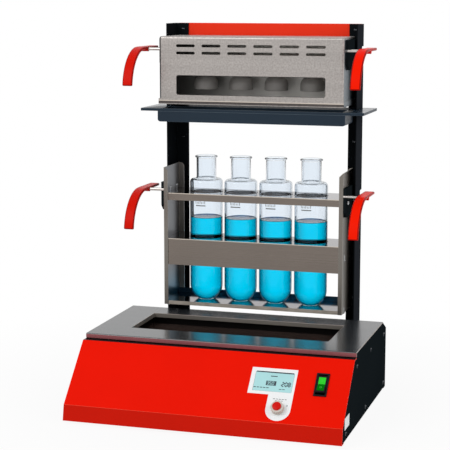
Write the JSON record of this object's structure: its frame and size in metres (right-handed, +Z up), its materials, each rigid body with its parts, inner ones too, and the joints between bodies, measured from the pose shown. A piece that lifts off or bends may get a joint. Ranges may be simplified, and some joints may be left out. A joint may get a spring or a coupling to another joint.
{
  "type": "block digester",
  "caption": "Bench digester with a heated well in a sloped desk base, rear columns, a rack of round-bottom vessels, a drip tray and a suction hood",
  "frame": {"origin": "middle of the footprint, on the surface that the rubber feet stand on", "axes": "+Z up, -Y towards the operator at the sloped front panel, +X to the operator's right"},
  "size_m": [0.494, 0.4472, 0.676],
  "materials": {
    "red_paint": "semi-gloss powder coat",
    "black_paint": "satin powder coat",
    "tray_paint": "satin grey enamel",
    "stainless_steel": "fine brushed",
    "rack_steel": "fine brushed",
    "zinc_steel": "zinc plated",
    "glass_ceramic": "polished dark",
    "quartz_glass": "frosted",
    "ceramic": "matte ceramic",
    "circuit_board": "matte",
    "display_glass": "clear over a lit display",
    "label_film": "matte film",
    "black_plastic": "moulded",
    "black_rubber": "matte",
    "knob_grey": "moulded",
    "knob_red": "moulded",
    "rocker_green": "translucent, lit",
    "red_grip": "smooth moulded sleeve",
    "cap_polymer": "moulded",
    "clear_glass": "clear borosilicate",
    "blue_liquid": "clear blue liquid"
  },
  "bodies": {
    "stand": {"chassis_tray": "zinc_steel", "front_panel": "red_paint", "side_panel_left": "black_paint", "side_panel_right": "black_paint", "rear_cover": "red_paint", "top_plate": "tray_paint", "well_liner": "stainless_steel", "glass_ceramic_plate": "glass_ceramic", "infrared_tubes": "quartz_glass", "tube_holder_left": "ceramic", "tube_holder_right": "ceramic", "reflector_tray": "zinc_steel", "control_board": "circuit_board", "display_screen": "display_glass", "panel_label": "label_film", "encoder_body": "zinc_steel", "switch_housing": "black_plastic", "power_inlet": "black_plastic", "rubber_feet": "black_rubber", "side_screws": "zinc_steel", "column_left": "black_paint", "column_right": "black_paint", "crossbar": "red_paint", "column_screws": "zinc_steel"},
    "jog_ring": {"jog_ring": "knob_grey"},
    "jog_cap": {"jog_cap": "knob_red"},
    "power_rocker": {"rocker_key": "rocker_green"},
    "drip_tray": {"tray_plate": "tray_paint", "tray_trough": "tray_paint"},
    "rack": {"rack_side_left": "rack_steel", "rack_side_right": "rack_steel", "rack_top_shelf": "rack_steel", "rack_middle_shelf": "rack_steel", "rack_bottom_shelf": "rack_steel", "rack_screws": "zinc_steel", "rack_hook_left": "black_paint", "rack_hook_right": "black_paint", "rack_rod_left": "stainless_steel", "rack_rod_right": "stainless_steel", "rack_grip_left": "red_grip", "rack_grip_right": "red_grip"},
    "hood": {"hood_shell": "stainless_steel", "hood_manifold": "stainless_steel", "suction_caps": "cap_polymer", "extraction_nozzle": "cap_polymer", "hood_screws": "zinc_steel", "hood_hook_left": "black_paint", "hood_hook_right": "black_paint", "hood_rod_left": "stainless_steel", "hood_rod_right": "stainless_steel", "hood_grip_left": "red_grip", "hood_grip_right": "red_grip"},
    "vessel_1": {"vessel_1": "clear_glass", "liquid_1": "blue_liquid"},
    "vessel_2": {"vessel_2": "clear_glass", "liquid_2": "blue_liquid"},
    "vessel_3": {"vessel_3": "clear_glass", "liquid_3": "blue_liquid"},
    "vessel_4": {"vessel_4": "clear_glass", "liquid_4": "blue_liquid"}
  },
  "joints": [
    {"name": "rack_carry", "type": "slide", "parent": "stand", "child": "rack", "axis": [0, -0.9063, 0.4226], "range_m": [0, 0.17]},
    {"name": "hood_carry", "type": "slide", "parent": "stand", "child": "hood", "axis": [0, -0.9063, 0.4226], "range_m": [0, 0.17]},
    {"name": "tray_draw", "type": "slide", "parent": "stand", "child": "drip_tray", "axis": [0, -1, 0], "range_m": [0, 0.055]},
    {"name": "vessel_1_lift", "type": "slide", "parent": "rack", "child": "vessel_1", "axis": [0, 0, 1], "range_m": [0, 0.06]},
    {"name": "vessel_2_lift", "type": "slide", "parent": "rack", "child": "vessel_2", "axis": [0, 0, 1], "range_m": [0, 0.06]},
    {"name": "vessel_3_lift", "type": "slide", "parent": "rack", "child": "vessel_3", "axis": [0, 0, 1], "range_m": [0, 0.06]},
    {"name": "vessel_4_lift", "type": "slide", "parent": "rack", "child": "vessel_4", "axis": [0, 0, 1], "range_m": [0, 0.06]},
    {"name": "jog_turn", "type": "hinge", "parent": "stand", "child": "jog_ring", "pos_m": [0.1314, -0.20396, 0.05499], "axis": [0, -0.7145, 0.6997], "continuous": true},
    {"name": "jog_press", "type": "slide", "parent": "jog_ring", "child": "jog_cap", "axis": [0, 0.7145, -0.6997], "range_m": [0, 0.001], "stiffness_N_per_m": 1500, "springref_m": -0.001},
    {"name": "power_rocker", "type": "hinge", "parent": "stand", "child": "power_rocker", "pos_m": [0.1969, -0.16115, 0.08584], "axis": [1, 0, 0], "range_deg": [0, 14]}
  ]
}
